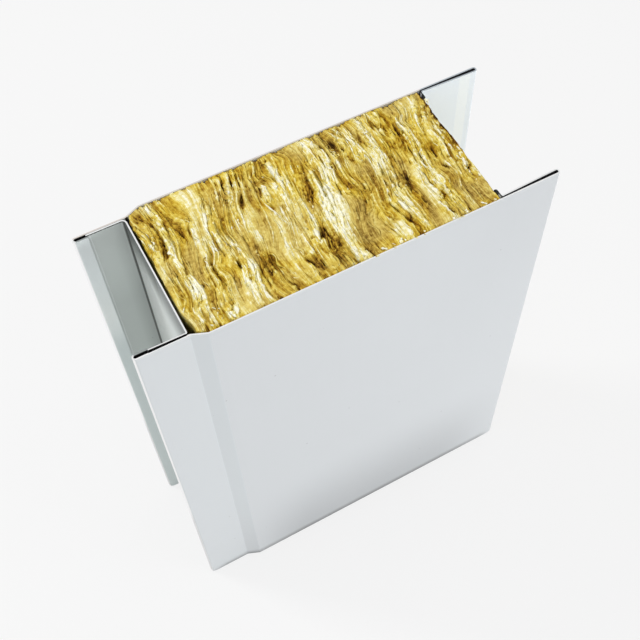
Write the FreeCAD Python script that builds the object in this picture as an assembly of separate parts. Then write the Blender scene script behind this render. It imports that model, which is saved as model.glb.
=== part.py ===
"""Insulated sandwich panel: a sawn sample of a wall panel with a mineral wool core.

Two rolled steel skins are glued to a core of mineral wool.  On the tongue side, at -X, each
skin steps inward and ends in a lip with an open hem, and a folded channel closes the core
between the lips.  On the groove side, at +X, each skin runs on past the core, folds back on
itself and ends in a short leg that holds the end of the core.  The step is as deep as the
doubled skin, so that the tongue of one panel enters the groove of the next.

Frame: origin at the middle of the lower sawn end, X across the cover width, Y through the
thickness with the front skin at -Y, Z up along the panel.  Millimetres.
"""
import FreeCAD, Part
import math
import os

V = FreeCAD.Vector

# Driving dimensions of the panel
panel_thickness = 50.0        # over the outer faces of the two skins
overall_width = 140.0         # tongue lip to groove fold
sawn_length = 190.0           # height of the sample as it stands on a sawn end
skin_gauge = 0.45             # prepainted steel sheet

# Groove side of each skin
groove_depth = 21.0           # from the fold to the leg at the end of the core
fold_gap = 1.05               # air inside the fold, where it is widest
tail_gap = 0.45               # air left where the return meets the leg
leg_length = 2.8              # turned inward across the end of the core
leg_inside_radius = 0.3
hook_length = 1.0             # tip of the leg, turned into the core
hook_inside_radius = 0.2

# Tongue side of each skin
lip_length = 16.5             # flat lip, from its fold to the start of the joggle
lip_hem_return = 4.5          # hem turned inward at the end of the lip
joggle_run = 5.4              # along X
joggle_inside_radius = 1.0
joint_play = 0.05             # between a lip and the groove of the next panel

# Channel between the lips, pushed over against the back lip
channel_gauge = 0.45
channel_front_radius = 0.2    # inside its bends
channel_back_radius = 1.2
channel_front_gap = 0.42      # between the front flange and its lip, at the bend
channel_back_gap = 0.12       # between the back flange and its lip
flange_lean = 1.2             # degrees by which the front flange leaves its lip
flange_end_clearance = 0.3    # between the front flange and the end of the hem
flange_tuck = 0.4             # of the back flange, into the hem
tuck_clearance = 0.43         # between the tucked flange and the hem's return

# Mineral wool core
glue_line = 0.1               # adhesive film between core and skin
core_web_clearance = 0.85     # ragged end of the core to the web
core_leg_clearance = 0.35     # end of the core to the leg
hook_slot_clearance = 0.15    # all round the hook in the wool

# Sawn ends
lip_corner_radius = 2.7       # lower corner of each lip, dressed round
fold_corner_radius = 3.8      # lower corner of each fold on the groove side

# Planes that the pieces share
tongue_end = -overall_width / 2
groove_end = overall_width / 2
lip_root = tongue_end + lip_length            # where the joggle starts
outer_half = panel_thickness / 2
joggle_depth = 2 * skin_gauge + fold_gap + joint_play
lip_half = outer_half - joggle_depth          # outer face of a lip
leg_face = groove_end - groove_depth          # face of the leg towards the groove
hem_end = tongue_end + lip_hem_return
lip_hem_gap = channel_back_gap + channel_gauge + tuck_clearance
core_start = lip_root + core_web_clearance
core_end = leg_face - skin_gauge - core_leg_clearance


class FoldedSheet:
    """Section of a folded sheet, drawn as the flats and bends of its outer face.

    The sheet lies on the left of the path.  A positive bend turns left, over the sheet, and a
    negative one turns right, away from it.  Both faces of a bend are arcs about one centre.
    """

    def __init__(self, x, y, heading, gauge):
        self.at = V(x, y, 0)
        self.heading = heading
        self.gauge = gauge
        self.outer_edges = []
        self.inner_edges = []

    def _unit(self, turned=0.0):
        angle = math.radians(self.heading + turned)
        return V(math.cos(angle), math.sin(angle), 0)

    def _inner(self):
        return self.at + self._unit(90) * self.gauge

    def flat(self, length):
        """Straight run in the present heading."""
        outer, inner = self.at, self._inner()
        step = self._unit() * length
        self.outer_edges.append(Part.LineSegment(outer, outer + step).toShape())
        self.inner_edges.append(Part.LineSegment(inner, inner + step).toShape())
        self.at = outer + step

    def flat_to_x(self, x):
        """Straight run in the present heading until it reaches the plane at x."""
        self.flat((x - self.at.x) / self._unit().x)

    def bend(self, angle, inside_radius):
        """Turn by an angle in degrees, with the radius measured on the inside of the bend."""
        side = 1 if angle > 0 else -1
        outer_radius = inside_radius + (self.gauge if side > 0 else 0)
        inner_radius = inside_radius + (0 if side > 0 else self.gauge)
        centre = self.at + self._unit(90 * side) * outer_radius
        for radius, edges in ((outer_radius, self.outer_edges), (inner_radius, self.inner_edges)):
            points = [centre + self._unit(-90 * side + part * angle) * radius for part in (0, 0.5, 1)]
            edges.append(Part.Arc(*points).toShape())
        self.at = centre + self._unit(-90 * side + angle) * outer_radius
        self.heading += angle

    def rolled(self, length):
        """The closed section carried along the panel."""
        first, last = self.outer_edges[0], self.outer_edges[-1]
        first_in, last_in = self.inner_edges[0], self.inner_edges[-1]
        start_cap = Part.LineSegment(first_in.firstVertex(True).Point, first.firstVertex(True).Point)
        end_cap = Part.LineSegment(last.lastVertex(True).Point, last_in.lastVertex(True).Point)
        edges = [start_cap.toShape()] + self.outer_edges + [end_cap.toShape()] + self.inner_edges
        section = Part.Face(Part.Wire(Part.__sortEdges__(edges)))
        return section.extrude(V(0, 0, length))


def joggle_angle():
    """Slope of the joggle that has the given run, depth and radii."""
    radii = 2 * joggle_inside_radius + skin_gauge
    across = radii - joggle_depth
    return math.degrees(math.atan2(joggle_run, across)
                        - math.acos(radii / math.hypot(joggle_run, across)))


def joggle_flat():
    """Straight part of the joggle, between its two bends."""
    slope = math.radians(joggle_angle())
    radii = 2 * joggle_inside_radius + skin_gauge
    return joggle_run * math.cos(slope) + (joggle_depth - radii) * math.sin(slope)


def foot_outline():
    """Elevation of a skin as a plate through the whole panel, its lower free corners round."""
    plate = Part.makeBox(overall_width, panel_thickness, sawn_length,
                         V(tongue_end, -outer_half, 0))
    for end, radius in ((tongue_end, lip_corner_radius), (groove_end, fold_corner_radius)):
        corner = [edge for edge in plate.Edges
                  if all(abs(vertex.X - end) + vertex.Z < 1e-6 for vertex in edge.Vertexes)]
        plate = plate.makeFillet(radius, corner)
    return plate


def front_skin():
    """Hem, lip, joggle, face, fold, return, leg and hook, in that order along the strip."""
    hem_radius = lip_hem_gap / 2
    hem_centre = tongue_end + hem_radius + skin_gauge
    return_face = -lip_half + 2 * (hem_radius + skin_gauge)
    sheet = FoldedSheet(hem_end, return_face, 180, skin_gauge)
    sheet.flat_to_x(hem_centre)
    sheet.bend(180, hem_radius)
    sheet.flat_to_x(lip_root)

    slope = joggle_angle()
    sheet.bend(-slope, joggle_inside_radius)
    sheet.flat(joggle_flat())
    sheet.bend(slope, joggle_inside_radius)

    fold_radius = fold_gap / 2
    closing = math.asin((fold_gap - tail_gap) / groove_depth)
    sheet.flat_to_x(groove_end - fold_radius - skin_gauge)
    sheet.bend(180 + math.degrees(closing), fold_radius)
    sheet.flat_to_x(leg_face + leg_inside_radius * (1 + math.sin(closing)))
    leg_base = sheet.at.y
    sheet.bend(-90 - math.degrees(closing), leg_inside_radius)

    hook_bend = hook_inside_radius + skin_gauge
    leg_flat = leg_length - (sheet.at.y - leg_base) - hook_bend
    sheet.flat(leg_flat)
    sheet.bend(90, hook_inside_radius)
    sheet.flat(hook_length - hook_bend)
    return sheet.rolled(sawn_length).common(foot_outline())


def hook_reach():
    """Box round one hook of the front skin, where it bites into the core."""
    start = leg_face - hook_length - hook_slot_clearance
    leg_tip = -outer_half + 2 * skin_gauge + tail_gap + leg_length
    low = leg_tip - skin_gauge - hook_slot_clearance
    wide = skin_gauge + 2 * hook_slot_clearance
    return Part.makeBox(core_end - start, wide, sawn_length, V(start, low, 0))


def edge_channel():
    """Web across the end of the core, with a flange along the inside of each lip."""
    front_face = -(lip_half - skin_gauge - channel_front_gap)
    back_face = lip_half - skin_gauge - channel_back_gap
    front_tip = hem_end + flange_end_clearance
    front_bend = channel_front_radius + channel_gauge
    back_bend = channel_back_radius + channel_gauge
    lean = math.radians(flange_lean)
    bend_start = lip_root - front_bend * (1 + math.sin(lean))
    tip_face = front_face + (bend_start - front_tip) * math.tan(lean)
    channel = FoldedSheet(front_tip, tip_face, -flange_lean, channel_gauge)
    channel.flat_to_x(bend_start)
    channel.bend(90 + flange_lean, channel_front_radius)
    channel.flat(back_face - back_bend - channel.at.y)
    channel.bend(90, channel_back_radius)
    channel.flat_to_x(hem_end - flange_tuck)
    return channel.rolled(sawn_length)


def mineral_wool_core():
    """Fills the space between the skins, from the web to the legs, and follows the joggle."""
    slope = math.radians(joggle_angle())
    wide = outer_half - skin_gauge - glue_line
    narrow = wide - joggle_depth
    ramp_start = lip_root + (joggle_inside_radius + skin_gauge) * math.tan(slope / 2)
    ramp_end = ramp_start + joggle_depth / math.tan(slope)
    half = [V(lip_root, narrow, 0), V(ramp_start, narrow, 0), V(ramp_end, wide, 0),
            V(core_end, wide, 0)]
    other = [V(point.x, -point.y, 0) for point in reversed(half)]
    cavity = Part.Face(Part.makePolygon(half + other + half[:1]))
    core = cavity.extrude(V(0, 0, sawn_length))
    core = core.cut(Part.makeBox(core_web_clearance, panel_thickness, sawn_length,
                                 V(lip_root, -outer_half, 0)))
    slot = hook_reach()
    return core.cut(slot).cut(across_panel(slot))


def across_panel(shape):
    """Mirror image on the other face of the panel."""
    return shape.mirror(V(0, 0, 0), V(0, 1, 0))


skin = front_skin()
pieces = {
    "front_skin": skin,
    "back_skin": across_panel(skin),
    "edge_channel": edge_channel(),
    "mineral_wool_core": mineral_wool_core(),
}

os.makedirs("parts", exist_ok=True)
for name, shape in pieces.items():
    shape.exportStep(f"parts/{name}.step")
    box = shape.BoundBox
    print(f"{name}: {len(shape.Solids)} solid, {shape.Volume / 1000:.2f} cm3, valid {shape.isValid()}, "
          f"x {box.XMin:.2f}..{box.XMax:.2f} y {box.YMin:.2f}..{box.YMax:.2f} z {box.ZMin:.2f}..{box.ZMax:.2f}")
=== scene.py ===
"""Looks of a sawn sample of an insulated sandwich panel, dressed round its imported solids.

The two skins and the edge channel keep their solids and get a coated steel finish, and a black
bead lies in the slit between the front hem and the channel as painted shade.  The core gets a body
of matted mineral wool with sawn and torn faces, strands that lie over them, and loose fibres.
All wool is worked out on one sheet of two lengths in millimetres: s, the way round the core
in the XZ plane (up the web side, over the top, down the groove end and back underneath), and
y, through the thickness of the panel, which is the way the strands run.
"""
import math

import bpy
import numpy as np
from mathutils import Matrix, Vector


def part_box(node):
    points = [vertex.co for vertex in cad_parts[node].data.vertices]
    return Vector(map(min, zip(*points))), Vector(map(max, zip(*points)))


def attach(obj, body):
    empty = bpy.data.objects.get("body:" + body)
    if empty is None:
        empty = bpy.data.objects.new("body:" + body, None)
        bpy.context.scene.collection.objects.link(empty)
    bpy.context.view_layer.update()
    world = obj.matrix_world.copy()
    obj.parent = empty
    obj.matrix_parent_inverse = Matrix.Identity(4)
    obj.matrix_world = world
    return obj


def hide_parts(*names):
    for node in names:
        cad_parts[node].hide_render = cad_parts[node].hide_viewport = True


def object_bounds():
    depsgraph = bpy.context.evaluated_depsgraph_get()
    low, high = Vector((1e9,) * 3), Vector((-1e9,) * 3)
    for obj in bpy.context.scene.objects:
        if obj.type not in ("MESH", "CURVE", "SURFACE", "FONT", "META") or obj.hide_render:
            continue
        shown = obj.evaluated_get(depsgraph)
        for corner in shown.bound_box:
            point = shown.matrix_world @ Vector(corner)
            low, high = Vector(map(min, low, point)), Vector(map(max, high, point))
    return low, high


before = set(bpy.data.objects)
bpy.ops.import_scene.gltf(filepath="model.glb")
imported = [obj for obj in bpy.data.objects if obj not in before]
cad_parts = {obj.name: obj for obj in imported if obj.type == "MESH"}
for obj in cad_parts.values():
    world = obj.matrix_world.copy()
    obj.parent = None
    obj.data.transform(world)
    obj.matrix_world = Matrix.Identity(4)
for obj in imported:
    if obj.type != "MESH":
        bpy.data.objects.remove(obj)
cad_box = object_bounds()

MM = 0.001

# Planes of the panel, read from the solids, in millimetres
core_low, core_high = (np.array(corner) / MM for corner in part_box("mineral_wool_core"))
panel_low, panel_high = (np.array(corner) / MM for corner in cad_box)
channel_low, channel_high = (np.array(corner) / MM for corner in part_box("edge_channel"))
HALF_CORE = core_high[1]
LIP_ROOT = channel_high[0]            # outer face of the web, where the skins start to step out
TOP = panel_high[2]

# Sheet metal of the panel, in millimetres
GAUGE = 0.45
JOGGLE_DEPTH = 2.0
JOGGLE_RAMP = (0.3, 5.2)              # from the lip root, where the sloping part starts and ends
HEM_RETURN = 4.5
HEM_GAP = 1.0
GROOVE_DEPTH = 21.0
FOLD_GAP = 1.05
TAIL_GAP = 0.45
GAP_SHADE_MARGIN = 0.12                           # painted shade: dark inner margin of the front lip's sawn edge, beside the gap
FLANGE_LEAN = 0.021                   # slope at which the channel's front flange leaves the lip

# Wool body, in millimetres
EDGE_ROUND = 0.6                      # worn edges of the sawn block
TOP_STEP, END_STEP, FOOT_STEP, WEB_STEP = 0.29, 0.85, 0.6, 3.2      # mesh, round the core
Y_STEP = 0.42                         # mesh, through the thickness
PRESSED = 0.3                         # depth of wool that the floor presses flat
RIM_HEIGHT = 0.15                     # highest wool beside the skins
CRACK_DEPTH, SLIT_DEPTH, PIT_DEPTH = 1.1, 1.9, 2.4
UV_SIZE = 100                         # length of wool to one unit of its uv map

# Finish of the steel, in millimetres
CUT_DEPTH = 0.02                      # what counts as the cut end itself
RIM_STRIP_DEPTH = 0.8                     # reach of the ragged strip beside it
SHADE_VEIL_HEIGHT = 65.0                    # veil of painted shade above the lower end
SHADE_VEIL_CENTRE = 8.0                     # x where the veil of painted shade is thickest
SHADED_FOOT_HEIGHT = 4.5                     # painted shade at the foot of the faces
STEP_SHADE_HEIGHT = 2.4                # painted shade under the lip and the joggle
RUBBED_FROM, RUBBED_TO = 58.0, 76.0   # height where the lip's fold turns to bare metal
REFLECTION_INSET = 4.7                    # painted reflection: pale band in the groove, from the fold
REFLECTION_HALF = (2.3, 1.7)              # half its width, with its soft edge and without
HEM_HIGHLIGHT_DROP = 42.0                # middle of the painted highlight in the hem, from the top
WEB_SHADE = (26.0, 2.0)                # painted shade on the upper end of the web, from where it starts to its full tone
LINE_INSET = 0.3                      # painted shade line in the channel's back bend

# Finish of the steel, as shares of its shade
# the last share darkens the lower end as painted shade
ROLL_MARK, HAZE, SPECK, LOWER_SHADE = 0.018, 0.03, 0.25, 0.57
SHADE_GRADIENT = 0.06                       # painted light and shade: the groove side darker high up, lighter low down

TINY = 1e-9                           # keeps a division from 0


# ---------------------------------------------------------------- noise and flow

def lattice_noise(u, v, seed):
    """Smooth noise, mostly from -1 to 1: a random slope at each whole-number point of a
    lattice, and between four points the blend of their slopes by 6t^5 - 15t^4 + 10t^3."""
    cells = 256
    angle = np.random.RandomState(seed).uniform(0, 2 * math.pi, (cells, cells))
    u, v = np.broadcast_arrays(np.asarray(u, float), np.asarray(v, float))
    column, row = np.floor(u).astype(int), np.floor(v).astype(int)
    fu, fv = u - column, v - row

    def slope(du, dv):
        turned = angle[(column + du) % cells, (row + dv) % cells]
        return np.cos(turned) * (fu - du) + np.sin(turned) * (fv - dv)

    bu = fu ** 3 * (fu * (6 * fu - 15) + 10)
    bv = fv ** 3 * (fv * (6 * fv - 15) + 10)
    near = slope(0, 0) * (1 - bu) + slope(1, 0) * bu
    far = slope(0, 1) * (1 - bu) + slope(1, 1) * bu
    return 1.5 * (near * (1 - bv) + far * bv)


def smooth_step(value, start, end):
    """0 before start, 1 after end, and 3t^2 - 2t^3 between them."""
    t = np.clip((value - start) / (end - start), 0, 1)
    return t * t * (3 - 2 * t)


def eddies():
    """Centres, radii and strengths of the curls in the matting, one row each."""
    rng = np.random.RandomState(41)
    count = 34
    centre_s = rng.uniform(0, 2 * (core_high[0] - core_low[0] + core_high[2]), count)
    centre_y = rng.uniform(-0.85, 0.85, count) * HALF_CORE
    radius = rng.uniform(1.2, 3.4, count)
    strength = rng.choice([-1, 1], count) * rng.uniform(0.3, 1.1, count) * radius
    return np.stack([centre_s, centre_y, radius, strength], axis=1)


EDDIES = eddies()


def matting(s, y, layer=0):
    """Flow function: strands lie where it is constant.  It is s, bent by three waves of noise
    and by the eddies, each a bell curve of the distance from its centre.  Each further layer
    of fibres is bent by a wave of its own, so that layers cross at a slant."""
    flow = s + 3.4 * lattice_noise(s / 36, y / 33, 11) + 1.1 * lattice_noise(s / 13, y / 17, 12)
    flow = flow + 0.3 * lattice_noise(s / 4.5, y / 7, 13)
    if layer:
        flow = flow + 1.5 * lattice_noise(s / 9, y / 17, 14 + layer)
    for centre_s, centre_y, radius, strength in EDDIES:
        away = (s - centre_s) ** 2 + (y - centre_y) ** 2
        flow = flow + strength * np.exp(-away / (2 * radius ** 2))
    return flow


# ---------------------------------------------------------------- the core's loop and relief

def core_loop():
    """Stations of the closed path round the core: a rectangle in XZ with round corners, from
    half way up the web side.  Columns: s, x, z, and the outward normal in x and z."""
    left, bottom = core_low[0], core_low[2]
    right, top = core_high[0], core_high[2]
    r = EDGE_ROUND
    middle = (bottom + top) / 2
    parts = []

    def straight(start, end, step):
        start, end = np.array(start), np.array(end)
        run = end - start
        count = max(int(round(np.hypot(*run) / step)), 1)
        t = np.arange(count)[:, None] / count
        normal = np.array([-run[1], run[0]]) / np.hypot(*run)
        parts.append(np.hstack([start + t * run, np.repeat([normal], count, axis=0)]))

    def corner(centre, start_angle):
        angle = np.radians(start_angle - 90 * np.arange(6) / 6)
        normal = np.stack([np.cos(angle), np.sin(angle)], axis=1)
        parts.append(np.hstack([np.array(centre) + r * normal, normal]))

    straight((left, middle), (left, top - r), WEB_STEP)
    corner((left + r, top - r), 180)
    straight((left + r, top), (right - r, top), TOP_STEP)
    corner((right - r, top - r), 90)
    straight((right, top - r), (right, bottom + r), END_STEP)
    corner((right - r, bottom + r), 0)
    straight((right - r, bottom), (left + r, bottom), FOOT_STEP)
    corner((left + r, bottom + r), -90)
    straight((left, bottom + r), (left, middle), WEB_STEP)
    stations = np.vstack(parts)
    steps = np.hypot(*np.diff(stations[:, :2], axis=0, append=stations[:1, :2]).T)
    s = np.concatenate([[0], np.cumsum(steps)])
    return np.hstack([s[:-1, None], stations]), s[-1]


LOOP, LOOP_LENGTH = core_loop()
S_TOP = (core_high[2] / 2, core_high[2] / 2 + core_high[0] - core_low[0])
S_END = (S_TOP[1], S_TOP[1] + core_high[2])
S_FOOT = (S_END[1], S_END[1] + core_high[0] - core_low[0])


def on_top(s):
    """1 on the upper sawn face, 0.8 on the lower one, 0.45 on the groove end and 0.25 beside
    the web, so that the block keeps its planes where it was cut clean."""
    top = smooth_step(s, S_TOP[0], S_TOP[0] + 2) * (1 - smooth_step(s, S_TOP[1] - 2, S_TOP[1]))
    end = smooth_step(s, S_TOP[1] - 2, S_TOP[1]) * (1 - smooth_step(s, S_END[1] - 2, S_END[1]))
    foot = smooth_step(s, S_END[1] - 2, S_END[1]) * (1 - smooth_step(s, S_FOOT[1] - 2, S_FOOT[1]))
    return 0.25 + 0.75 * top + 0.2 * end + 0.55 * foot


def relief(s, y):
    """Height of the torn wool above its plain face and how hollow each place is, both in mm,
    and how much it lies in a pale band and in a smooth patch, both from 0 to 1.  Bands and
    valleys, ridges and cords where noise crosses zero, clumps, cracks beside the bands and
    slits follow the flow.  Crumbs fill the torn places, pits the loose ones, and notches lie
    beside the skins.  Smooth patches are nearly flat, and the rim stays under the skins."""
    flow, upper, lower = matting(s, y), matting(s, y, 1), matting(s, y, 2)
    drift = y + 0.3 * flow
    wave = (lattice_noise(flow / 6.4, drift / 27, 21)
            + 0.55 * lattice_noise(upper / 2.9, drift / 17, 22))
    band = smooth_step(wave, -0.28, 0.42)
    ridge = 1 - 1.8 * np.sqrt(np.abs(lattice_noise(upper / 2.7, drift / 19, 23)))
    cord = 1 - 1.8 * np.sqrt(np.abs(lattice_noise(lower / 1.3, drift / 11, 24)))
    torn = smooth_step(lattice_noise(s / 8, y / 11, 26), 0.1, 0.5)
    sleek = smooth_step(lattice_noise(lower / 9, drift / 24, 32), 0.0, 0.3) * (1 - torn)
    crumb = lattice_noise(s / 1.3, y / 1.8, 25) + 0.7 * lattice_noise(s / 0.7, y / 0.95, 31)
    clump = lattice_noise(upper / 1.9, y / 4.3, 35) + 0.6 * lattice_noise(s / 1.3, y / 2.4, 36)
    height = 0.8 * (band - 0.5) + (1 - 0.7 * sleek) * (0.5 * ridge + 0.28 * cord + 0.1 * clump)
    height = height + torn * (0.36 * crumb - 0.2)
    rim = np.maximum(smooth_step(np.abs(y), HALF_CORE - 2, HALF_CORE - 0.3),
                     smooth_step(s, S_TOP[1] - 2, S_TOP[1] - 0.3))
    height = height - rim * np.maximum(height - RIM_HEIGHT, 0)

    margin = smooth_step(-np.abs(wave - 0.12), -0.2, -0.03)
    crack = margin * smooth_step(lattice_noise(flow / 4, drift / 9, 33), 0.0, 0.35)
    loose = 0.25 + 0.75 * smooth_step(lattice_noise(s / 9, y / 13, 27), -0.3, 0.3)
    slit = smooth_step(lattice_noise(upper / 1.4, drift / 6, 28), 0.45, 0.72) * loose
    pit = smooth_step(lattice_noise(s / 1.4, y / 2.2, 29), 0.6, 0.85) * loose
    depth = (CRACK_DEPTH * crack + SLIT_DEPTH * slit + PIT_DEPTH * pit) * (1 - 0.85 * sleek)
    beside_skin = smooth_step(np.abs(y), HALF_CORE - 0.8, HALF_CORE)
    ragged = lattice_noise(s / 0.9, y / 6, 30) + 0.6 * lattice_noise(s / 3.3, y / 6, 34)
    depth = depth + beside_skin * smooth_step(ragged, 0.1, 0.7)
    share = on_top(s)
    return share * (height - 0.2) - (0.3 + 0.7 * share) * depth, depth, band, sleek


def on_core(s, y, height):
    """Point of the core's sheet, in mm: the loop's point at s moved out by the height, y
    pressed in where the skins step inward, the front corner at the web torn back, and z kept
    above the floor by an exponential curve below the pressed depth."""
    s = np.mod(s, LOOP_LENGTH)
    x, z, nx, nz = (np.interp(s, LOOP[:, 0], column, period=LOOP_LENGTH) for column in LOOP.T[1:])
    x, z = x + nx * height, z + nz * height
    z = np.where(z < PRESSED, PRESSED * np.exp(np.minimum(z / PRESSED, 1) - 1), z)
    ramp = np.clip((x - LIP_ROOT - JOGGLE_RAMP[0]) / (JOGGLE_RAMP[1] - JOGGLE_RAMP[0]), 0, 1)
    narrow = (HALF_CORE - JOGGLE_DEPTH) / HALF_CORE
    squeezed = y * (narrow + (1 - narrow) * ramp)
    torn = 1.5 * smooth_step(-y, 15, 23) * smooth_step(-x, -core_low[0] - 9, -core_low[0])
    return np.stack([x + torn, squeezed, z], axis=-1)


# ---------------------------------------------------------------- meshes

def new_piece(name, points, faces, uv, tone, sleek, material):
    """Mesh object from points in mm, faces, one uv pair for each face corner, and one tone
    and one smoothness for each point, riding on the panel."""
    mesh = bpy.data.meshes.new(name)
    points = np.asarray(points, np.float32) * MM
    corners = faces.shape[1]
    mesh.vertices.add(len(points))
    mesh.vertices.foreach_set("co", points.ravel())
    mesh.loops.add(faces.size)
    mesh.loops.foreach_set("vertex_index", faces.ravel().astype(np.int32))
    mesh.polygons.add(len(faces))
    mesh.polygons.foreach_set("loop_start", np.arange(0, faces.size, corners, dtype=np.int32))
    mesh.update(calc_edges=True)
    mesh.polygons.foreach_set("use_smooth", np.ones(len(faces), bool))
    layer = mesh.uv_layers.new(name="flow")
    layer.data.foreach_set("uv", np.asarray(uv, np.float32).ravel())
    for title, values in (("tone", tone), ("sleek", sleek)):
        attribute = mesh.attributes.new(title, "FLOAT", "POINT")
        attribute.data.foreach_set("value", np.asarray(values, np.float32))
    mesh.materials.append(material)
    piece = bpy.data.objects.new(name, mesh)
    bpy.context.scene.collection.objects.link(piece)
    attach(piece, "root")
    return piece


def grid_faces(rows, columns):
    """Corner numbers of the quads of a grid of points, row by row."""
    row = np.arange(rows - 1)[:, None]
    column = np.arange(columns - 1)[None, :]
    return np.stack([row * columns + column, row * columns + column + 1,
                     (row + 1) * columns + column + 1, (row + 1) * columns + column],
                    axis=-1).reshape(-1, 4)


def wool_body(material):
    """Closed body of the core: the loop's stations by lines across the thickness, raised by
    the relief, with a fan of faces over each of the two sides that the skins cover."""
    s = LOOP[:, 0]
    y = np.linspace(-HALF_CORE, HALF_CORE, int(round(2 * HALF_CORE / Y_STEP)) + 1)
    rows, columns = len(s), len(y)
    grid_s, grid_y = np.meshgrid(s, y, indexing="ij")
    height, depth, band, sleek = relief(grid_s, grid_y)
    points = on_core(grid_s, grid_y, height).reshape(-1, 3)
    tone = wool_tone(grid_s, grid_y, height, depth, band).ravel()

    unwrapped = grid_faces(rows + 1, columns)
    flow = matting(np.append(s, LOOP_LENGTH)[:, None], y[None, :], 2)
    long = np.broadcast_to(y[None, :], flow.shape)
    uv = np.stack([flow.ravel()[unwrapped], long.ravel()[unwrapped]], axis=-1) / UV_SIZE
    quads = np.mod(unwrapped, rows * columns)

    centre = np.array([(core_low[0] + core_high[0]) / 2, 0, core_high[2] / 2])
    hubs = centre + np.array([[0, -HALF_CORE, 0], [0, HALF_CORE, 0]])
    ring = np.arange(rows)
    ahead = np.mod(ring + 1, rows)
    front = np.stack([ring * columns, ahead * columns, np.full(rows, rows * columns)], axis=1)
    back = np.stack([ahead * columns, ring * columns, np.full(rows, rows * columns + 1)], axis=1)
    back[:, :2] += columns - 1
    points = np.vstack([points, hubs])
    tone = np.append(tone, [0.3, 0.3])
    sleek = np.append(sleek.ravel(), [0, 0])
    triangles = np.vstack([quads[:, [0, 1, 2]], quads[:, [0, 2, 3]], front, back])
    uv_fans = np.zeros((2 * rows, 3, 2))
    uv = np.vstack([uv[:, [0, 1, 2]], uv[:, [0, 2, 3]], uv_fans])
    body = new_piece("wool_body", points, triangles, uv, tone, sleek, material)
    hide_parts("mineral_wool_core")


def wool_tone(s, y, height, depth, band):
    """Tone from 0, deep brown, to 1, cream: bands are paler, higher places paler and hollows dark,
    partly as the wool's own colour and partly as painted light and shade, slow noise along the
    flow makes golden and pale streaks, and the ragged corner at the groove is in painted shade."""
    upper, lower = matting(s, y, 1), matting(s, y, 2)
    drift = y + 0.3 * upper
    streak = (lattice_noise(upper / 4.1, drift / 26, 51)
              + 0.8 * lattice_noise(lower / 1.4, drift / 12, 52))
    proud = height + depth + 0.2 - 0.8 * (band - 0.5)
    # Higher places paler and hollows darker: partly the wool's own colour, partly painted light
    # and shade.
    tone = 0.475 + 0.29 * (band - 0.1) + 0.17 * streak + 0.42 * proud - 0.42 * depth
    ragged = S_TOP[1] - 0.95 + 0.45 * lattice_noise(y / 1.3, 0.5, 37)
    corner = smooth_step(s, ragged - 0.2, ragged + 0.1)
    corner = corner * (1 - smooth_step(s, S_TOP[1] + 0.6, S_TOP[1] + 2.5))
    tone = tone - 0.55 * (corner * smooth_step(y, -8, 3))
    return np.clip(tone, 0, 1)


def trace(s, y, heading, stride, steps, layer):
    """Paths that follow a layer of the matting from their starts: at each step half a stride
    along the contour of the flow function, then a whole stride in the direction found there."""
    def direction(at_s, at_y):
        step = 0.15
        across = matting(at_s + step, at_y, layer) - matting(at_s - step, at_y, layer)
        along = matting(at_s, at_y + step, layer) - matting(at_s, at_y - step, layer)
        size = np.hypot(across, along) + TINY
        return -along / size * heading, across / size * heading

    path_s, path_y = [s], [y]
    for _ in range(steps):
        ds, dy = direction(s, y)
        ds, dy = direction(s + ds * stride / 2, y + dy * stride / 2)
        s, y = s + ds * stride, y + dy * stride
        path_s.append(s)
        path_y.append(y)
    return np.stack(path_s, axis=1), np.stack(path_y, axis=1)


def strand_starts(rng, spans, count, banded, rows):
    """Places where strands start: of three times as many random places, those that have the
    lowest score, a random number that is smaller in the pale bands and larger in the smooth
    patches."""
    spans = np.array(spans)
    share = (spans[:, 1] - spans[:, 0]) / (spans[:, 1] - spans[:, 0]).sum()
    tries = 3 * count
    span = spans[rng.choice(len(spans), tries, p=share)]
    s = span[:, 0] + rng.uniform(0, 1, tries) * (span[:, 1] - span[:, 0])
    y = rng.uniform(*rows, tries) * HALF_CORE
    _, _, band, sleek = relief(s, y)
    kept = np.argsort(rng.uniform(0, 1, tries) * (1 - banded * band) + 0.7 * sleek)[:count]
    return s[kept], y[kept]


def strand_faces(count, steps, sides):
    """Corner numbers of the quads along four-sided strands and over their two ends."""
    rings = steps + 1
    strand = np.arange(count)[:, None, None] * rings * sides
    ring = np.arange(steps)[None, :, None] * sides
    corner = np.arange(sides)[None, None, :]
    follow = (corner + 1) % sides
    quads = np.stack([strand + ring + corner, strand + ring + sides + corner,
                      strand + ring + sides + follow, strand + ring + follow], axis=-1)
    first = np.arange(count)[:, None] * rings * sides + np.arange(sides)[None, :]
    last = (first + steps * sides)[:, ::-1]
    return np.vstack([quads.reshape(-1, 4), first, last])


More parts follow.
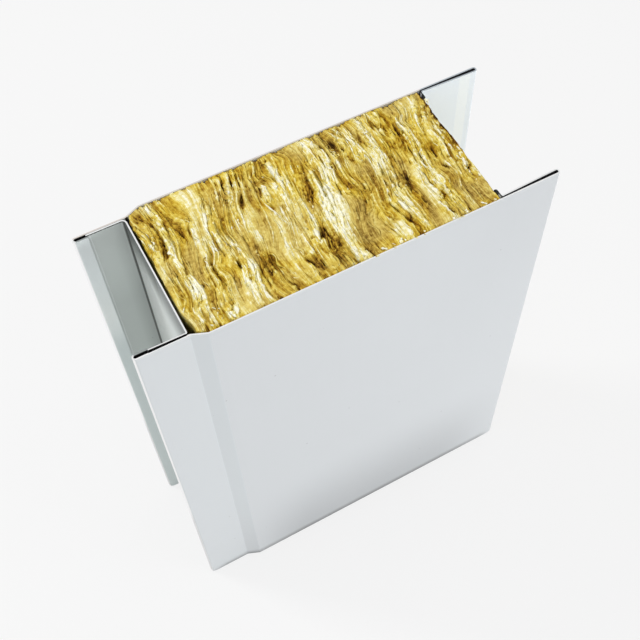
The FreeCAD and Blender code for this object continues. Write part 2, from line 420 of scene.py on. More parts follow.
def strands(name, spans, count, length, width, lift, pale, seed, material, steps=12,
            wander=0.0, stray=0.1, banded=0.6, knobbly=0.25, layer=1, plump=(0.4, 0.75),
            rows=(-1, 1), overhang=0.0):
    """Strands matted over the wool: each is a path along the flow with a flat four-sided
    section, as wide as the sine of its share of the length, sunk at both ends and lifted
    between them.  Spans are the stretches of s where they start, pale the range that their
    tone gains, stray the slope at which they leave the flow, wander their sway, banded the
    share that keeps to the pale bands, knobbly the waves in their width, layer the layer of
    the matting that they follow, plump their thickness as a share of their width, rows the
    part of the thickness where they start, and overhang how far they lie out over a skin."""
    rng = np.random.RandomState(seed)
    start_s, start_y = strand_starts(rng, spans, count, banded, rows)
    heading = rng.choice([-1.0, 1.0], count)
    total = length[0] * (length[1] / length[0]) ** rng.uniform(0, 1, count)
    wide = width[0] * (width[1] / width[0]) ** (rng.uniform(0, 1, count) ** 1.8)
    path_s, path_y = trace(start_s, start_y, heading, total / steps, steps, layer)

    part = np.linspace(0, 1, steps + 1)[None, :]
    phase = rng.uniform(0, 2 * math.pi, (count, 1))
    sway = wander * np.sin(phase + part * rng.uniform(3, 9, (count, 1))) * np.sin(math.pi * part)
    path_s = path_s + sway + rng.normal(0, stray, (count, 1)) * total[:, None] * (part - 0.5)
    limit = HALF_CORE - 0.2 + overhang
    over = np.maximum(np.abs(path_y) - limit, 0)
    path_y = np.clip(path_y, -limit, limit)
    ground, depth, band, sleek = relief(path_s, path_y)
    arch = np.sin(math.pi * part) ** 0.7
    rise = lift[0] + (lift[1] - lift[0]) * rng.uniform(0, 1, (count, 1)) ** 2
    settled = 0.35 * np.maximum(ground, -1.0) + 0.65 * ground
    height = settled - 0.12 + rise * arch - 0.7 * over
    if overhang:
        height = np.maximum(height, 0.1)

    ds, dy = np.gradient(path_s, axis=1), np.gradient(path_y, axis=1)
    size = np.hypot(ds, dy) + TINY
    knobs = 1 + knobbly * np.sin(phase * 3 + part * rng.uniform(9, 30, (count, 1)))
    half = wide[:, None] / 2 * (0.06 + 0.94 * arch) * knobs
    thick = half * rng.uniform(*plump, (count, 1))
    side = np.array([-1.0, 0.15, 1.0, 0.0])
    level = np.array([0.0, 1.0, 0.0, -0.8])
    ring_s = path_s[..., None] + (-dy / size * half)[..., None] * side
    ring_y = path_y[..., None] + (ds / size * half)[..., None] * side
    ring_h = height[..., None] + thick[..., None] * level
    points = on_core(ring_s, np.clip(ring_y, -limit - 0.2, limit + 0.2), ring_h).reshape(-1, 3)
    faces = strand_faces(count, steps, len(side))

    base = wool_tone(path_s, path_y, np.maximum(ground, -1.2), 0.3 * depth, band)
    tone = base + rng.uniform(*pale, (count, 1)) * arch + 0.05 * rise
    # Painted light and shade: each strand's top is a little paler, its sides darker and its
    # underside darkest.
    tone = np.repeat(tone[..., None], len(side), axis=-1) + np.array([-0.08, 0.05, -0.08, -0.25])
    sleek = np.repeat(sleek[..., None], len(side), axis=-1)
    run = np.broadcast_to(part * total[:, None], path_s.shape)
    across = np.arange(count)[:, None, None] * 1.7 + side * wide[:, None, None] / 2
    across = np.broadcast_to(across, ring_s.shape)
    along = np.broadcast_to(run[..., None], ring_s.shape)
    uv = np.stack([across.ravel(), along.ravel()], axis=-1) / UV_SIZE
    new_piece(name, points, faces, uv[faces], np.clip(tone, 0, 1).ravel(), sleek.ravel(), material)


def lip_slit_shade(material):
    """Thin black bead between the end of the front hem and the edge of the channel, painted shade
    in the slit: a rectangle carried up the panel."""
    hem_end, lip_inner = panel_low[0] + HEM_RETURN, panel_high[1] - JOGGLE_DEPTH - GAUGE
    x = hem_end + np.array([0.02, 0.28, 0.28, 0.02])
    y = -lip_inner + np.array([0.05, 0.05, 1.2, 1.2])
    z = np.array([0.1, TOP - 0.1])
    points = [(x[i % 4], y[i % 4], z[i // 4]) for i in range(8)]
    sides = [(i, (i + 1) % 4, (i + 1) % 4 + 4, i + 4) for i in range(4)]
    mesh = bpy.data.meshes.new("lip_slit_shade")
    mesh.from_pydata((np.array(points) * MM).tolist(), [], [(3, 2, 1, 0), (4, 5, 6, 7)] + sides)
    mesh.materials.append(material)
    bead = bpy.data.objects.new("lip_slit_shade", mesh)
    bpy.context.scene.collection.objects.link(bead)
    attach(bead, "root")


# ---------------------------------------------------------------- materials

def srgb(red, green, blue):
    """Linear colour with alpha from red, green and blue out of 255."""
    value = np.array([red, green, blue]) / 255
    linear = np.where(value <= 0.04045, value / 12.92, ((value + 0.055) / 1.055) ** 2.4)
    return (*linear.tolist(), 1.0)


# Coating, by place
SKIN_COAT = srgb(223, 227, 230)
CHANNEL_COAT = srgb(220, 227, 224)
# painted light on the inner face of the web
WEB_LIT_COAT = srgb(247, 252, 248)
# painted highlight at the tips of the flanges beside the hem
FLANGE_TIP_HIGHLIGHT = srgb(245, 250, 249)
# painted light on the front lip and the joggle
PAINTED_LIGHT_COAT = srgb(244, 252, 255)
# painted light inside the groove, and a paler band near its fold as a painted reflection
GROOVE_LIT_COAT = srgb(241, 249, 255)
GROOVE_REFLECTION = srgb(248, 254, 255)
# painted shade and painted light inside the hems, and a painted highlight
SHADED_HEM = srgb(222, 231, 231)
LIT_HEM = srgb(247, 254, 255)
HEM_HIGHLIGHT = srgb(248, 253, 252)
# painted shade: the reverse of the sheets, seen only in the gaps
GAP_SHADE_REVERSE = srgb(20, 20, 21)
GROOVE_GAP_SHADE = srgb(66, 66, 70)
# painted shade in the channel
CHANNEL_SHADE = srgb(50, 58, 52)

# Bare metal, by place
# painted highlight along the rounded fold of the lips
FOLD_HIGHLIGHT = srgb(254, 254, 254)
BARE_EDGE = srgb(224, 225, 225)
BACK_EDGE = srgb(206, 199, 193)
GROOVE_EDGE = srgb(172, 179, 185)
RETURN_EDGE = srgb(140, 146, 145)
DARK_MARGIN = srgb(18, 18, 19)
DARK_LEG_EDGE = srgb(22, 27, 22)

# Wool, from hollows to ridges
WOOL_TONES = (0.0, 0.15, 0.33, 0.52, 0.70, 0.86, 1.0)
GOLDEN_WOOL = (srgb(38, 20, 2), srgb(104, 66, 12), srgb(168, 127, 28), srgb(206, 174, 56),
               srgb(227, 206, 96), srgb(240, 231, 164), srgb(252, 250, 228))
TAN_WOOL = (srgb(42, 26, 6), srgb(104, 76, 26), srgb(160, 131, 58), srgb(200, 173, 88),
            srgb(221, 202, 114), srgb(234, 225, 170), srgb(250, 248, 228))


def add(tree, kind, inputs=None, **settings):
    """Node of a kind with its settings, each input given a value or another node's socket."""
    node = tree.nodes.new(kind)
    for name, value in settings.items():
        setattr(node, name, value)
    for name, value in (inputs or {}).items():
        if isinstance(value, bpy.types.NodeSocket):
            tree.links.new(value, node.inputs[name])
        else:
            node.inputs[name].default_value = value
    return node


def calc(tree, operation, *values):
    """Result socket of a Math node."""
    return add(tree, "ShaderNodeMath", dict(enumerate(values)), operation=operation).outputs[0]


def ramp(tree, value, stops):
    """Colour socket of a ramp with (place, colour) stops."""
    node = add(tree, "ShaderNodeValToRGB", {"Fac": value})
    band = node.color_ramp
    while len(band.elements) < len(stops):
        band.elements.new(1.0)
    for element, (place, colour) in zip(band.elements, stops):
        element.position = place
        element.color = colour
    return node.outputs["Color"]


def blend(tree, factor, first, second, kind="MIX"):
    """Colour socket of a Mix node, each input given a value or another node's socket."""
    node = add(tree, "ShaderNodeMix", data_type="RGBA", blend_type=kind)
    sockets = node.inputs[0], node.inputs[6], node.inputs[7]
    for socket, value in zip(sockets, (factor, first, second)):
        if isinstance(value, bpy.types.NodeSocket):
            tree.links.new(value, socket)
        else:
            socket.default_value = value
    return node.outputs[2]


def noise(tree, place, scale, detail=2.0, roughness=0.5):
    """Socket of a Noise texture, from 0 to 1 about 0.5."""
    return add(tree, "ShaderNodeTexNoise", {"Vector": place, "Scale": scale, "Detail": detail,
                                            "Roughness": roughness}).outputs["Fac"]


def fade(tree, value, start, end, low=0.0, high=1.0, smooth=False, unit=MM):
    """Socket that is low at start and before it, high at end and past it, with a straight or
    a smooth run between.  Start and end are in the unit."""
    curve = "SMOOTHSTEP" if smooth else "LINEAR"
    return add(tree, "ShaderNodeMapRange",
               {"Value": value, "From Min": start * unit, "From Max": end * unit, "To Min": low,
                "To Max": high}, interpolation_type=curve).outputs[0]


def past(tree, place, limit):
    """1 where a coordinate is above a limit in mm."""
    return calc(tree, "GREATER_THAN", place, limit * MM)


def short_of(tree, place, limit):
    """1 where a coordinate is below a limit in mm."""
    return calc(tree, "LESS_THAN", place, limit * MM)


def between(tree, place, low, high):
    """1 where a coordinate lies between two limits in mm."""
    return calc(tree, "MULTIPLY", past(tree, place, low), short_of(tree, place, high))


def from_plane(tree, place, plane):
    """Distance of a coordinate from a plane in mm, in metres."""
    return calc(tree, "ABSOLUTE", calc(tree, "SUBTRACT", place, plane * MM))


def material_tree(name):
    """New material with its node tree and its shader."""
    material = bpy.data.materials.new(name)
    material.use_nodes = True
    tree = material.node_tree
    return material, tree, tree.nodes["Principled BSDF"]


def bump(tree, shader, height, strength, distance):
    """Bump from a height socket into the shader's normal, its distance in mm."""
    node = add(tree, "ShaderNodeBump", {"Height": height, "Strength": strength,
                                        "Distance": distance * MM})
    tree.links.new(node.outputs[0], shader.inputs["Normal"])


def group(name, inputs, outputs):
    """Empty shader node group with named sockets, and its input and output nodes."""
    tree = bpy.data.node_groups.new(name, "ShaderNodeTree")
    for socket, kind in inputs.items():
        tree.interface.new_socket(name=socket, in_out="INPUT", socket_type=kind)
    for socket, kind in outputs.items():
        tree.interface.new_socket(name=socket, in_out="OUTPUT", socket_type=kind)
    return tree, tree.nodes.new("NodeGroupInput"), tree.nodes.new("NodeGroupOutput")


def mineral_wool():
    """Resin-bound mineral wool: brown hollows, golden strands and cream ridges by the tone,
    duller in broad patches and where the wool is smooth, streaked by fine and coarse fibres
    that run along the flow, and crumbly."""
    material, tree, shader = material_tree("mineral wool")
    tone = add(tree, "ShaderNodeAttribute", attribute_name="tone").outputs["Fac"]
    sleek = add(tree, "ShaderNodeAttribute", attribute_name="sleek").outputs["Fac"]
    flow = add(tree, "ShaderNodeUVMap", uv_map="flow").outputs["UV"]
    place = add(tree, "ShaderNodeTexCoord").outputs["Object"]

    def streak(across, along, detail):
        scaled = add(tree, "ShaderNodeMapping", {"Vector": flow, "Scale": (across, along, 1)})
        return noise(tree, scaled.outputs[0], 1.0, detail, 0.6)

    fine, coarse = streak(330, 16, 3), streak(110, 7, 2)
    crumbs = noise(tree, place, 850.0, 2.0, 0.6)
    for texture, share in ((fine, 0.72), (coarse, 0.4), (crumbs, 0.66)):
        tone = calc(tree, "MULTIPLY_ADD", calc(tree, "SUBTRACT", texture, 0.5), share, tone)
    golden = ramp(tree, tone, list(zip(WOOL_TONES, GOLDEN_WOOL)))
    tan = ramp(tree, tone, list(zip(WOOL_TONES, TAN_WOOL)))
    patches = fade(tree, noise(tree, place, 75.0), 0.42, 0.66, unit=1.0)
    dull = calc(tree, "MAXIMUM", calc(tree, "MULTIPLY", patches, 0.7), sleek)
    tree.links.new(blend(tree, dull, golden, tan), shader.inputs["Base Color"])
    bump(tree, shader, calc(tree, "ADD", calc(tree, "ADD", fine, coarse), crumbs), 0.6, 0.3)
    shader.inputs["Roughness"].default_value = 0.9
    shader.inputs["Specular IOR Level"].default_value = 0.1
    return material


def coat_effects():
    """Small faults of a rolled and coated sheet: long roll marks up the panel, an orange-peel
    skin, sparse specks and a slow haze.  Puts out each of them."""
    tree, enter, leave = group(
        "coat effects", {"Position": "NodeSocketVector"},
        dict.fromkeys(("Roll marks", "Peel", "Specks", "Haze"), "NodeSocketFloat"))
    place = enter.outputs["Position"]
    stretched = add(tree, "ShaderNodeMapping", {"Vector": place, "Scale": (620, 620, 9)})
    dots = add(tree, "ShaderNodeTexVoronoi", {"Vector": place, "Scale": 230.0}, feature="F1")
    near = calc(tree, "LESS_THAN", dots.outputs["Distance"], 0.07)
    chosen = add(tree, "ShaderNodeSeparateColor", {"Color": dots.outputs["Color"]}).outputs[0]
    effects = {
        "Roll marks": noise(tree, stretched.outputs[0], 1.0),
        "Peel": noise(tree, place, 1400.0, 1.0),
        "Specks": calc(tree, "MULTIPLY", near, calc(tree, "GREATER_THAN", chosen, 0.9)),
        "Haze": noise(tree, place, 34.0, 3.0),
    }
    for name, value in effects.items():
        tree.links.new(value, leave.inputs[name])
    return tree


def sawn_ends():
    """Masks of the cut ends of the sheets, of a ragged strip beside them, and of painted shade on
    the lower end: a veil that thins out upward and to both sides, a dark foot that leaves out
    the outer corners, and a dark rim under the lip and the joggle."""
    tree, enter, leave = group(
        "sawn ends", {"Position": "NodeSocketVector"},
        dict.fromkeys(("Cut", "Rim strip", "Lower shade"), "NodeSocketFloat"))
    place = enter.outputs["Position"]
    x, _, z = add(tree, "ShaderNodeSeparateXYZ", {"Vector": place}).outputs
    away = from_plane(tree, z, TOP / 2)
    reach = (TOP / 2 - CUT_DEPTH) * MM
    ragged = calc(tree, "MULTIPLY_ADD", noise(tree, place, 900.0), -RIM_STRIP_DEPTH * MM, reach)

    # Painted shade towards the floor: thinner upward and towards both ends, with a darker foot and
    # a darker rim under the lip and the joggle.
    shade_veil = fade(tree, z, 0.0, SHADE_VEIL_HEIGHT, 1.0, 0.0, smooth=True)
    inward = fade(tree, from_plane(tree, x, SHADE_VEIL_CENTRE), 66.0, 30.0, 0.1, 1.0, smooth=True)
    off_corners = fade(tree, calc(tree, "ABSOLUTE", x), 69.0, 63.0)
    foot = calc(tree, "MULTIPLY", fade(tree, z, 0.0, SHADED_FOOT_HEIGHT, 0.9, 0.0), off_corners)
    stepped = short_of(tree, x, LIP_ROOT + JOGGLE_RAMP[1])
    rim = fade(tree, z, 0.0, STEP_SHADE_HEIGHT, 0.45, 0.0)
    foot = calc(tree, "MULTIPLY_ADD", rim, stepped, foot)
    masks = {
        "Cut": calc(tree, "GREATER_THAN", away, reach),
        "Rim strip": calc(tree, "GREATER_THAN", away, ragged),
        "Lower shade": calc(tree, "MULTIPLY_ADD", calc(tree, "MULTIPLY", shade_veil, inward), 0.44, foot),
    }
    for name, value in masks.items():
        tree.links.new(value, leave.inputs[name])
    return tree


def weathered_and_shaded(tree, colour, effects, lower_shade, x, z):
    """Coat colour times a shade: 1, changed by roll marks, haze and specks, darkened by the
    painted shade of the lower end, and changed by painted light and shade in a slow gradient down
    the groove side of the panel, darker high up and lighter low down."""
    shade = 1.0
    for texture, share in (("Roll marks", ROLL_MARK), ("Haze", HAZE)):
        wave = calc(tree, "SUBTRACT", effects[texture], 0.5)
        shade = calc(tree, "MULTIPLY_ADD", wave, share, shade)
    shade = calc(tree, "MULTIPLY_ADD", effects["Specks"], -SPECK, shade)
    # Painted shade: the coat darker towards the lower end.
    shade = calc(tree, "MULTIPLY_ADD", lower_shade, -LOWER_SHADE, shade)
    # Painted light and shade: the groove side darker high up and lighter low down.
    groove_side = fade(tree, x, 10.0, 60.0, smooth=True)
    painted_gradient = fade(tree, z, TOP, 0.0, -SHADE_GRADIENT, SHADE_GRADIENT)
    shade = calc(tree, "MULTIPLY_ADD", groove_side, painted_gradient, shade)
    grey = add(tree, "ShaderNodeCombineColor", {0: shade, 1: shade, 2: shade}).outputs[0]
    return blend(tree, 1.0, colour, grey, "MULTIPLY")


def front_step_lightened(tree, coat, x, y, z):
    """Coat with the front lip and the joggle beside it a little paler as painted light, which
    offsets the shade on the joggle's slope, the joggle less so towards the lower end."""
    front = short_of(tree, y, 0.0)
    joggle = calc(tree, "MULTIPLY", front, between(tree, x, LIP_ROOT, LIP_ROOT + JOGGLE_RAMP[1]))
    lip = calc(tree, "MULTIPLY", front, short_of(tree, x, LIP_ROOT))
    fading = fade(tree, z, 0.0, 70.0, 0.05, 0.4)
    # Painted light: the lip and the joggle paler.
    pale = calc(tree, "MULTIPLY_ADD", joggle, fading, calc(tree, "MULTIPLY", lip, 0.15))
    return blend(tree, pale, coat, PAINTED_LIGHT_COAT)


def hem_inside_lit(tree, coat, x, depth, z):
    """Coat with the inner side of the hems in painted light and shade: duller low down, paler high
    up, with a soft painted highlight.
    """
    hem_face = panel_high[1] - JOGGLE_DEPTH - HEM_GAP - 1.4 * GAUGE
    in_hem = calc(tree, "MULTIPLY", short_of(tree, x, panel_low[0] + HEM_RETURN + 0.2),
                  short_of(tree, depth, hem_face))
    away = from_plane(tree, z, TOP - HEM_HIGHLIGHT_DROP)
    # Painted highlight across the middle of the hem, over painted shade low down and painted light
    # high up.
    streak = fade(tree, away, 0.0, 24.0, 1.0, 0.0, smooth=True)
    band = blend(tree, fade(tree, z, TOP - 62, TOP - 25), SHADED_HEM, LIT_HEM)
    return blend(tree, in_hem, coat, blend(tree, streak, band, HEM_HIGHLIGHT))


def coated_steel(name, colour, hidden_side, edge_tint, shade_marks=None):
    """Satin coil coating.  hidden_side(tree, x, y) gives the mask of the reverse of the sheet,
    which is near black as painted shade in the gaps, edge_tint(tree, x, y) the colour of its
    cut ends, and grime(tree, x, y, z, scuff) the mask of painted shade and of dark dashes under
    a cut end, which only the channel has.  Parts of the coat are paler as painted light, the
    fold of the lips is a painted highlight, and the groove and the rubbed fold of the lip show
    some of the metal."""
    material, tree, shader = material_tree(name)
    place = add(tree, "ShaderNodeTexCoord").outputs["Object"]
    effects = add(tree, "ShaderNodeGroup", {"Position": place}, node_tree=COAT_EFFECTS).outputs
    ends = add(tree, "ShaderNodeGroup", {"Position": place}, node_tree=SAWN_ENDS).outputs
    x, y, z = add(tree, "ShaderNodeSeparateXYZ", {"Vector": place}).outputs
    depth = calc(tree, "ABSOLUTE", y)
    coat = weathered_and_shaded(tree, colour, effects, ends["Lower shade"], x, z)
    if shade_marks is not None:
        # Painted light: the inner face of the web is paler, and a painted highlight runs along the
        # flanges beside the hem's end.
        on_web = between(tree, x, LIP_ROOT - GAUGE - 0.1, LIP_ROOT - GAUGE / 2)
        coat = blend(tree, on_web, coat, WEB_LIT_COAT)
        beside_hem = short_of(tree, x, panel_low[0] + HEM_RETURN + 0.9)
        coat = blend(tree, beside_hem, coat, FLANGE_TIP_HIGHLIGHT)
        # Painted shade in the channel's bend, on its back flange and on the upper web, with dark
        # dashes under a cut end.
        coat = blend(tree, shade_marks(tree, x, y, z, ends["Rim strip"]), coat, CHANNEL_SHADE)

    coat = front_step_lightened(tree, coat, x, y, z)
    # Painted light: the inside of the groove is paler, with a paler band near the fold as a
    # painted reflection.
    in_groove = calc(tree, "MULTIPLY", past(tree, x, panel_high[0] - GROOVE_DEPTH),
                     short_of(tree, depth, panel_high[1] - 2 * GAUGE - TAIL_GAP))
    reflection_band = fade(tree, from_plane(tree, x, panel_high[0] - REFLECTION_INSET), *REFLECTION_HALF)
    coat = blend(tree, in_groove, coat, blend(tree, reflection_band, GROOVE_LIT_COAT, GROOVE_REFLECTION))
    coat = hem_inside_lit(tree, coat, x, depth, z)
    # Painted highlight: the rounded fold of the lips is near white along its whole height.
    fold = short_of(tree, x, panel_low[0] + 0.5)
    coat = blend(tree, fold, coat, FOLD_HIGHLIGHT)
    rubbed = fade(tree, z, RUBBED_FROM, RUBBED_TO, smooth=True)
    rubbed = calc(tree, "MULTIPLY", fold, rubbed)
    sheen = calc(tree, "MULTIPLY", in_groove, calc(tree, "MULTIPLY_ADD", reflection_band, 0.12, 0.35))
    tree.links.new(calc(tree, "MAXIMUM", rubbed, sheen), shader.inputs["Metallic"])

    # Painted shade: the reverse of each sheet shows only in narrow gaps and is near black there,
    # dark grey in the groove, so that the gaps read as shade.
    reverse = hidden_side(tree, x, y)
    gap_shade = blend(tree, past(tree, x, 0.0), GAP_SHADE_REVERSE, GROOVE_GAP_SHADE)
    coat = blend(tree, reverse, coat, gap_shade)
    coat = blend(tree, ends["Cut"], coat, edge_tint(tree, x, y))
    tree.links.new(coat, shader.inputs["Base Color"])
    rough = calc(tree, "MULTIPLY_ADD", calc(tree, "ADD", effects["Haze"], effects["Roll marks"]),
                 0.14, 0.24)
    rough = calc(tree, "MULTIPLY_ADD", reverse, 0.35, rough)
    rough = calc(tree, "MULTIPLY_ADD", ends["Cut"], 0.3, rough)
    tree.links.new(rough, shader.inputs["Roughness"])
    bump(tree, shader, calc(tree, "ADD", effects["Peel"], effects["Roll marks"]), 0.25, 0.02)
    return material


def skin_reverse(tree, x, y):
    """Reverse of a skin: inside the lip's hem, behind the front lip and the face, and inside
    the groove fold."""
    depth = calc(tree, "ABSOLUTE", y)
    fold_inside = panel_low[0] + 0.8 * GAUGE
    lip_middle = panel_high[1] - JOGGLE_DEPTH - GAUGE / 2
    open_lip = calc(tree, "MULTIPLY", short_of(tree, y, 0.0),
                    between(tree, x, fold_inside, LIP_ROOT))
    hem = between(tree, x, fold_inside, panel_low[0] + HEM_RETURN)
    in_lip = calc(tree, "MULTIPLY", calc(tree, "MAXIMUM", open_lip, hem),
                  between(tree, depth, lip_middle - HEM_GAP - GAUGE, lip_middle))
    leg_middle = panel_high[0] - GROOVE_DEPTH - GAUGE / 2
    behind_face = calc(tree, "MULTIPLY", between(tree, x, LIP_ROOT, leg_middle),
                       short_of(tree, depth, lip_middle))
    tail_outer = panel_high[1] - 1.5 * GAUGE - FOLD_GAP
    slope = (FOLD_GAP - TAIL_GAP) / GROOVE_DEPTH
    tail = calc(tree, "MULTIPLY_ADD", x, -slope, (tail_outer + slope * panel_high[0]) * MM)
    in_fold = calc(tree, "MULTIPLY", between(tree, x, leg_middle, panel_high[0] - 0.8 * GAUGE),
                   calc(tree, "MULTIPLY", calc(tree, "GREATER_THAN", depth, tail),
                        short_of(tree, depth, panel_high[1] - GAUGE / 2)))
    return calc(tree, "MAXIMUM", in_lip, calc(tree, "MAXIMUM", behind_face, in_fold))


def skin_edge(tree, x, y):
    """Cut end of a skin: bright, but duller on the back skin and on the hem's return, dark as
    painted shade on the margin inside the front lip beside its gap, and dark on leg and hook."""
    depth = calc(tree, "ABSOLUTE", y)
    lip_inner = panel_high[1] - JOGGLE_DEPTH - GAUGE
    leg = panel_high[0] - GROOVE_DEPTH
    outer_back = past(tree, y, lip_inner)
    tint = blend(tree, outer_back, BARE_EDGE, BACK_EDGE)
    groove_back = calc(tree, "MULTIPLY", outer_back, past(tree, x, leg))
    tint = blend(tree, groove_back, tint, GROOVE_EDGE)
    returned = calc(tree, "MULTIPLY", between(tree, x, panel_low[0] + 1.6 * GAUGE, LIP_ROOT),
                    short_of(tree, depth, panel_high[1] - JOGGLE_DEPTH - 1.5 * GAUGE))
    tint = blend(tree, returned, tint, RETURN_EDGE)
    # Painted shade: the cut end's margin beside the lip's gap is dark, which widens the gap's
    # shade.
    gap_margin = calc(tree, "MULTIPLY", between(tree, x, panel_low[0] + HEM_RETURN, LIP_ROOT - 0.5),
                between(tree, y, -(lip_inner + GAP_SHADE_MARGIN), 0.0))
    tint = blend(tree, gap_margin, tint, DARK_MARGIN)
    # The cut end on the leg and the hook is dark.
    on_leg = calc(tree, "MULTIPLY", between(tree, x, 0.0, leg + 0.1),
                  short_of(tree, depth, panel_high[1] - 2 * GAUGE))
    return blend(tree, on_leg, tint, DARK_LEG_EDGE)


def front_flange(tree, x, inset):
    """Y of a plane at an inset in mm from the outer face of the leaning front flange."""
    root = channel_low[1] + FLANGE_LEAN * LIP_ROOT
    return calc(tree, "MULTIPLY_ADD", x, -FLANGE_LEAN, (root + inset) * MM)


def channel_edge(tree, x, y):
    """Cut end of the channel: bright, with a dark outer margin on the front flange, painted shade
    beside the lip's gap.
    """
    margin = calc(tree, "MULTIPLY", calc(tree, "LESS_THAN", y, front_flange(tree, x, GAP_SHADE_MARGIN)),
                  short_of(tree, x, LIP_ROOT - 0.5))
    return blend(tree, margin, BARE_EDGE, DARK_MARGIN)


def channel_reverse(tree, x, y):
    """Reverse of the channel: towards the lips and towards the core."""
    front = calc(tree, "LESS_THAN", y, front_flange(tree, x, GAUGE / 2))
    back = past(tree, y, channel_high[1] - GAUGE / 2)
    core = past(tree, x, channel_high[0] - GAUGE / 2)
    return calc(tree, "MAXIMUM", front, calc(tree, "MAXIMUM", back, core))


def channel_shade_marks(tree, x, y, z, rim_strip):
    """Painted shade in the channel: a dark line along the inside of its back bend, a darker haze
    beside it and darkening that grows downward on the back flange, darkening on the upper end
    of the web, and dark dashes under the cut end of the back flange."""
    inner_web, inner_back = channel_high[0] - GAUGE, channel_high[1] - GAUGE
    across = calc(tree, "SUBTRACT", x, (inner_web - LINE_INSET) * MM)
    through = calc(tree, "SUBTRACT", y, (inner_back - LINE_INSET) * MM)
    away = calc(tree, "SQRT", calc(tree, "ADD", calc(tree, "MULTIPLY", across, across),
                                   calc(tree, "MULTIPLY", through, through)))
    line = fade(tree, away, 0.3, 0.7, 1.0, 0.0)
    flange_shade = calc(tree, "ADD", fade(tree, z, TOP, TOP - 40, -0.09, 0.25),
                fade(tree, away, 0.0, 5.0, 0.2, 0.0))
    flange = past(tree, y, inner_back - 0.1)
    darkening = calc(tree, "MAXIMUM", line, calc(tree, "MULTIPLY", flange, flange_shade))
    high = fade(tree, z, TOP - WEB_SHADE[0], TOP - WEB_SHADE[1], 0.0, 0.93, smooth=True)
    web = between(tree, x, inner_web - 0.1, channel_high[0] - GAUGE / 2)
    darkening = calc(tree, "MAXIMUM", darkening, calc(tree, "MULTIPLY", web, high))
    back_face = between(tree, y, inner_back - 0.2, inner_back + 0.2)
    return calc(tree, "MAXIMUM", darkening, calc(tree, "MULTIPLY", rim_strip, back_face))


def slit_shade_black():
    """Matt black with a lumpy skin, painted shade in the slit beside the front hem."""
    material, tree, shader = material_tree("slit shade")
    lumps = noise(tree, add(tree, "ShaderNodeTexCoord").outputs["Object"], 700.0)
    black = ramp(tree, lumps, [(0.3, srgb(12, 12, 13)), (0.7, srgb(30, 30, 31))])
    tree.links.new(black, shader.inputs["Base Color"])
    bump(tree, shader, lumps, 0.4, 0.1)
    shader.inputs["Roughness"].default_value = 0.8
    return material


def pale_floor():
    """Floor of the studio: pale to the camera and in reflections, duller as a reflector of
    light, so that the object's shadow stays on it."""
    material, tree, shader = material_tree("studio floor")
    light = add(tree, "ShaderNodeLightPath").outputs
    mirrored = calc(tree, "MAXIMUM", light["Is Glossy Ray"], light["Is Transmission Ray"])
    seen = calc(tree, "MAXIMUM", light["Is Camera Ray"], mirrored)
    colour = blend(tree, seen, srgb(200, 200, 200), srgb(100, 100, 100))
    glow = blend(tree, seen, (0.0, 0.0, 0.0, 1.0), srgb(231, 231, 231))
    tree.links.new(colour, shader.inputs["Base Color"])
    tree.links.new(glow, shader.inputs["Emission Color"])
    shader.inputs["Emission Strength"].default_value = 1.0
    shader.inputs["Roughness"].default_value = 1.0
    shader.inputs["Specular IOR Level"].default_value = 0.0
    return material


# ---------------------------------------------------------------- studio

def studio_floor():
    """Flat square under the panel."""
    half = 3.0
    corners = [(-half, -half, 0), (half, -half, 0), (half, half, 0), (-half, half, 0)]
    mesh = bpy.data.meshes.new("studio_floor")
    mesh.from_pydata(corners, [], [(0, 1, 2, 3)])
    mesh.materials.append(pale_floor())
    floor = bpy.data.objects.new("studio_floor", mesh)
    bpy.context.scene.collection.objects.link(floor)


def softbox(name, place, aim, size, power):
    """Square area light at a place, turned to its aim, both in metres."""
    lamp = bpy.data.lights.new(name, "AREA")
    lamp.shape = "SQUARE"
    lamp.size = size
    lamp.energy = power
    light = bpy.data.objects.new(name, lamp)
    light.location = place
    light.rotation_euler = (Vector(aim) - Vector(place)).to_track_quat("-Z", "Y").to_euler()
    bpy.context.scene.collection.objects.link(light)


def studio_light():
    """Even world light, a low softbox at the right of the front, one at the left, a crisp one
    behind that brings out the wool, and one overhead."""
    world = bpy.data.worlds.new("studio")
    bpy.context.scene.world = world
    world.use_nodes = True
    background = world.node_tree.nodes["Background"]
    background.inputs["Color"].default_value = (1.0, 1.0, 1.0, 1.0)
    background.inputs["Strength"].default_value = 0.42
    middle = (0.0, 0.0, 0.12)
    softbox("right softbox", (0.66, -0.68, 0.16), middle, size=0.45, power=4.75)
    softbox("left softbox", (-0.55, -0.75, 0.6), middle, size=0.5, power=1.2)
    softbox("back softbox", (-0.5, 0.5, 0.95), middle, size=0.22, power=4.8)
    softbox("overhead", (0.1, 0.0, 1.1), middle, size=0.6, power=2.9)


def studio_camera():
    """Camera above the front left corner, looking down on the upper sawn end."""
    eye, aim = Vector((-0.0839, -0.1708, 0.4427)), Vector((0.0262, 0.0029, 0.0951))
    lens = bpy.data.cameras.new("camera")
    lens.lens = 59.0
    lens.sensor_width = 36.0
    lens.shift_x = -0.10
    lens.clip_start = 0.01
    camera = bpy.data.objects.new("camera", lens)
    look = (aim - eye).to_track_quat("-Z", "Y").to_matrix().to_4x4()
    roll = Matrix.Rotation(math.radians(3.07), 4, "Z")
    camera.matrix_world = Matrix.Translation(eye) @ look @ roll
    bpy.context.scene.collection.objects.link(camera)
    bpy.context.scene.camera = camera


# ---------------------------------------------------------------- the panel

COAT_EFFECTS = coat_effects()
SAWN_ENDS = sawn_ends()

skin_coat = coated_steel("skin coating", SKIN_COAT, skin_reverse, skin_edge)
channel_coat = coated_steel("channel coating", CHANNEL_COAT, channel_reverse, channel_edge,
                            channel_shade_marks)
for node, coat in (("front_skin", skin_coat), ("back_skin", skin_coat),
                   ("edge_channel", channel_coat)):
    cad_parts[node].data.materials.clear()
    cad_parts[node].data.materials.append(coat)
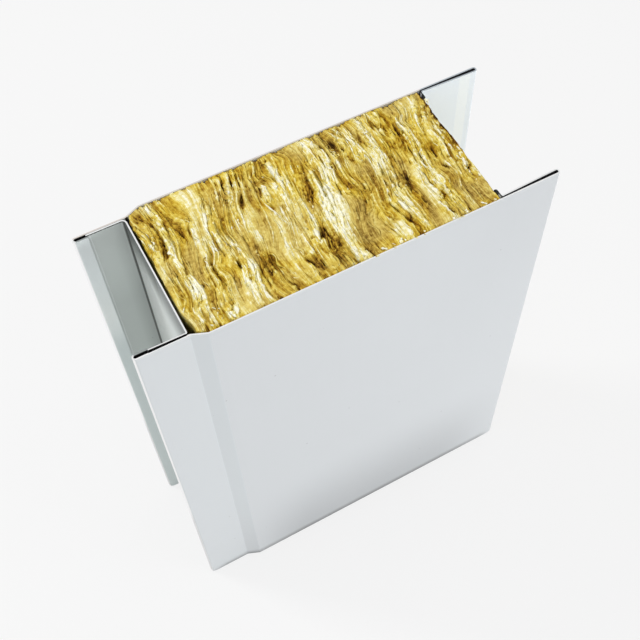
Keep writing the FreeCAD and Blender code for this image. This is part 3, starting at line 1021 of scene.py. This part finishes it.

# A black bead stands in for the shade in the slit beside the front hem.
lip_slit_shade(slit_shade_black())
wool = mineral_wool()
wool_body(wool)
strands("wool_bands_top", [S_TOP], count=30, length=(16, 40), width=(1.6, 3.4),
        lift=(-0.15, 0.1), pale=(-0.06, 0.12), seed=71, material=wool, steps=34, stray=0.02,
        banded=0.8, knobbly=0.14, layer=0, plump=(0.14, 0.26))
strands("wool_ribbons_top", [S_TOP], count=240, length=(10, 38), width=(0.8, 2.6),
        lift=(-0.2, 0.2), pale=(-0.13, 0.16), seed=67, material=wool, steps=30, stray=0.04,
        banded=0.5, knobbly=0.25, layer=0, plump=(0.2, 0.45))
strands("wool_strands_top", [S_TOP], count=640, length=(7, 30), width=(0.4, 1.4),
        lift=(0.0, 0.4), pale=(-0.15, 0.25), seed=61, material=wool, steps=18, stray=0.06)
strands("wool_fibres_top", [S_TOP], count=480, length=(1.6, 8), width=(0.12, 0.36),
        lift=(0.05, 0.5), pale=(-0.15, 0.25), seed=62, material=wool, wander=0.4, stray=0.25,
        banded=0.2)
strands("wool_crumbs_edge", [(S_TOP[1] - 3.2, S_TOP[1] - 1.0)], count=80, length=(1.2, 3.6),
        width=(0.5, 1.2), lift=(0.0, 0.25), pale=(0.1, 0.6), seed=68, material=wool, steps=7,
        stray=0.35, banded=0.0, plump=(0.25, 0.5), rows=(-0.98, 0.4))
strands("wool_flocks_front", [(S_TOP[1] - 46, S_TOP[1] - 1)], count=16, length=(0.9, 2.4),
        width=(0.6, 1.1), lift=(0.1, 0.5), pale=(0.5, 0.9), seed=69, material=wool, steps=6,
        stray=0.9, banded=0.0, knobbly=0.5, rows=(-1.01, -0.99), overhang=0.75)
strands("wool_flocks_hook", [(S_TOP[1] - 0.1, S_TOP[1] + 0.1)], count=4, length=(1.2, 2.2),
        width=(0.7, 1.2), lift=(0.9, 1.3), pale=(1.3, 1.5), seed=70, material=wool, steps=6,
        stray=0.5, banded=0.0, knobbly=0.5, rows=(0.82, 0.86), overhang=0.1)
strands("wool_curls_top", [S_TOP], count=170, length=(5, 16), width=(0.45, 1.2),
        lift=(0.1, 0.5), pale=(-0.2, 0.3), seed=65, material=wool, steps=20, wander=0.7,
        stray=0.15, banded=0.8, knobbly=0.5)
strands("wool_tufts_top", [S_TOP], count=100, length=(0.7, 1.8), width=(0.3, 0.6),
        lift=(0.1, 0.5), pale=(-0.4, 0.7), seed=66, material=wool, steps=5, stray=0.8,
        banded=0.2)
for name, span, seed in (("wool_strands_end", S_END, 63), ("wool_strands_foot", S_FOOT, 64)):
    strands(name, [span], count=900, length=(6, 26), width=(0.3, 1.4), lift=(0.05, 0.4),
            pale=(-0.18, 0.3), seed=seed, material=wool)

studio_floor()
studio_light()
studio_camera()

bpy.context.scene.view_settings.view_transform = "Standard"
